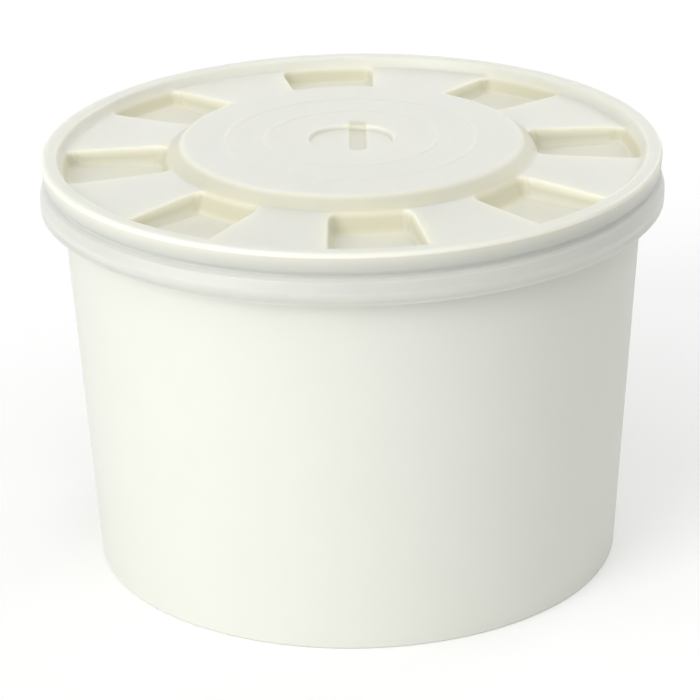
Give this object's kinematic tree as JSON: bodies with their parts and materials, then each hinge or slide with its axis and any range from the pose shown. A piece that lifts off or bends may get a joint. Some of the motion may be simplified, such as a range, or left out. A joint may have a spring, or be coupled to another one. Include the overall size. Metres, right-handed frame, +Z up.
{
  "type": "paper chicken bucket",
  "caption": "Squat round paper bucket for hot takeaway food, narrower at the foot, shut with a pressed-on milky plastic lid that has a raised disc and pockets between ribs.",
  "frame": {"origin": "centre of the foot circle, on the plane that the bucket stands on", "axes": "+Z up along the bucket's axis, from foot to lid; two of the lid's pockets lie along X and two along Y"},
  "size_m": [0.175, 0.175, 0.1218],
  "materials": {
    "paperboard": "matt white coated board",
    "milky_plastic": "satin, thin and slightly translucent"
  },
  "bodies": {
    "root": {"paper_bucket": "paperboard", "lid": "milky_plastic"}
  },
  "joints": []
}
